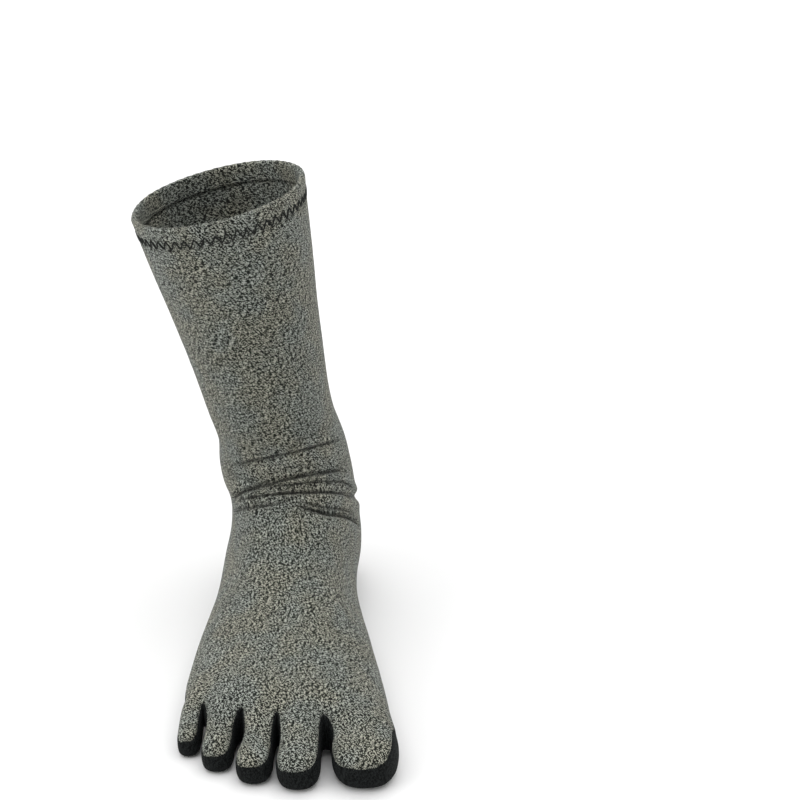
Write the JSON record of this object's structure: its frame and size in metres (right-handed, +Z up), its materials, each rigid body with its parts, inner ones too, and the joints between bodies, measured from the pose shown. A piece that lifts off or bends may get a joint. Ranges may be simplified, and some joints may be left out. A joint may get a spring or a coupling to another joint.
{
  "type": "toe sock",
  "caption": "Mid-calf knitted toe sock for a right foot, in its worn form: open hemmed cuff, creased ankle, separate toe pockets and a dark gusset along the toes.",
  "frame": {"origin": "on the ground below the ankle's axis, where the foot that wears the sock stands", "axes": "+Z up, toes towards -Y, heel towards +Y, big toe towards +X"},
  "size_m": [0.1317, 0.2345, 0.2307],
  "materials": {
    "heather_jersey": "matt fine jersey knit, flecked grey and black",
    "black_jersey": "matt smooth jersey, near black",
    "hem_jersey": "matt fine jersey knit, doubled and stitched"
  },
  "bodies": {
    "root": {"body": "heather_jersey", "toe_gusset": "black_jersey", "hem": "hem_jersey"}
  },
  "joints": []
}
